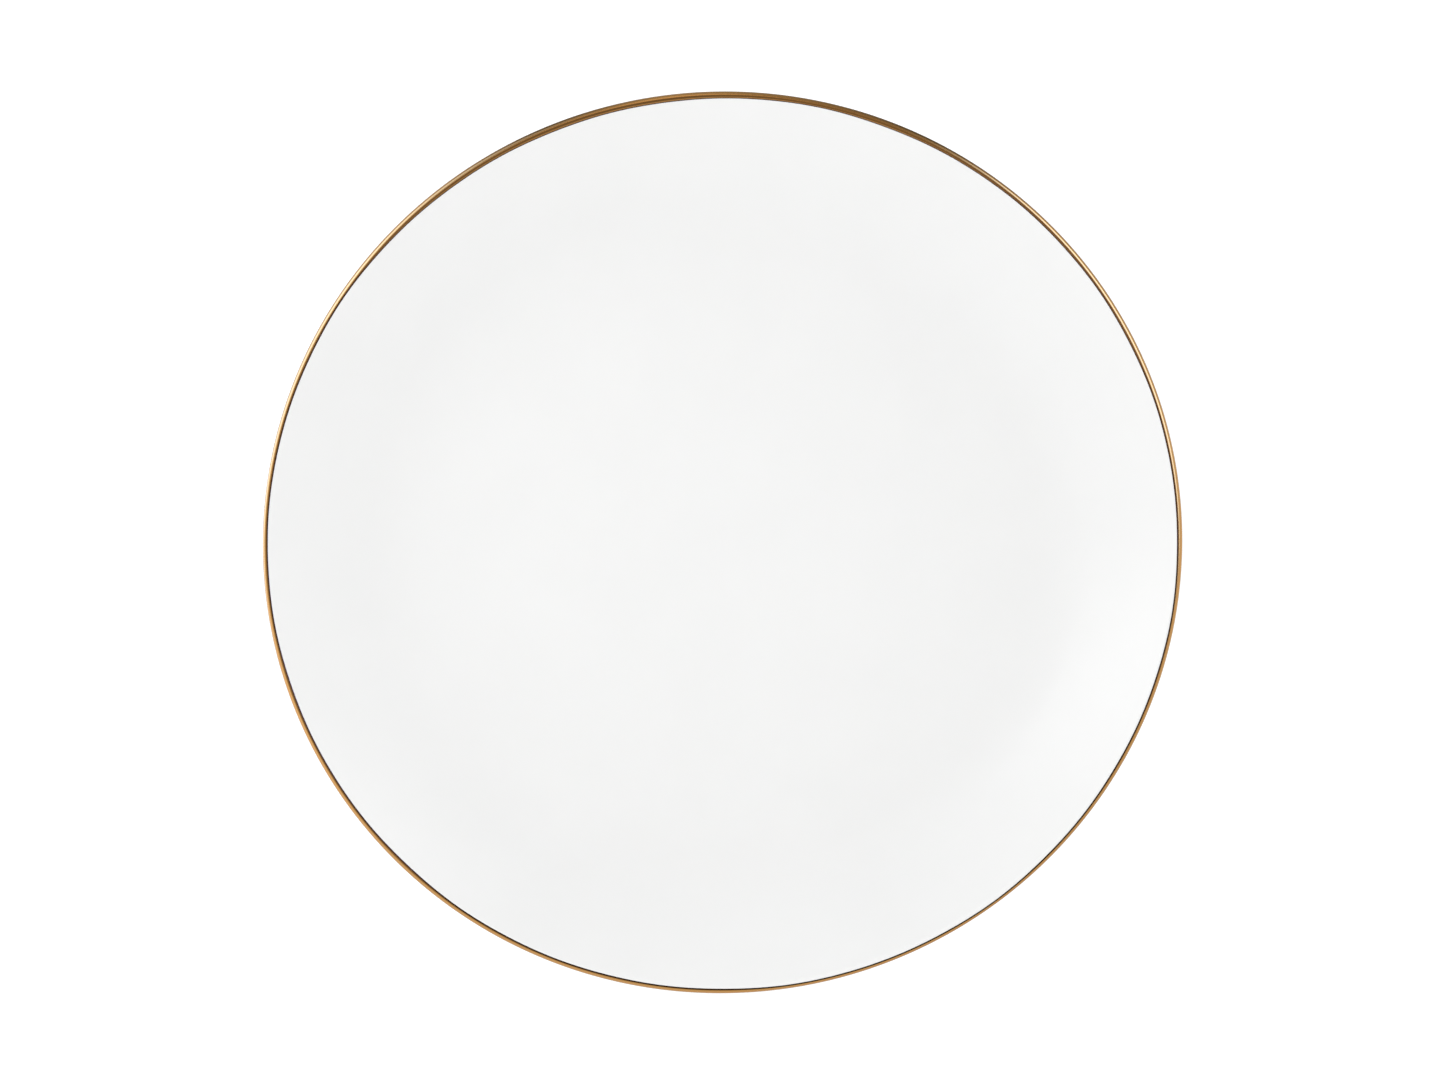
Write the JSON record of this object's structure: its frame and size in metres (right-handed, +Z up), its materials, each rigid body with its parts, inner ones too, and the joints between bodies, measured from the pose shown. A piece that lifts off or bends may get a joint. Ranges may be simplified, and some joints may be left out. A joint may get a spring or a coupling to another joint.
{
  "type": "dinner plate",
  "caption": "Round coupe dinner plate in white glazed china with a flat well, upturned wall, thin gold edge line and a foot ring.",
  "frame": {"origin": "on the plate's axis, at the level of the foot ring's ground face, which it stands on", "axes": "+Z up along the axis of the turned shape; the plate is the same all round it"},
  "size_m": [0.275, 0.275, 0.025],
  "materials": {
    "bone_china_body": "matte",
    "clear_glaze": "gloss",
    "base_clear_glaze": "gloss",
    "fired_gold": "polished",
    "ceramic_print": "satin"
  },
  "bodies": {
    "root": {"china_body": "bone_china_body", "glaze_coat": "clear_glaze", "base_glaze": "base_clear_glaze", "gold_rim_band": "fired_gold", "backstamp": "ceramic_print"}
  },
  "joints": []
}
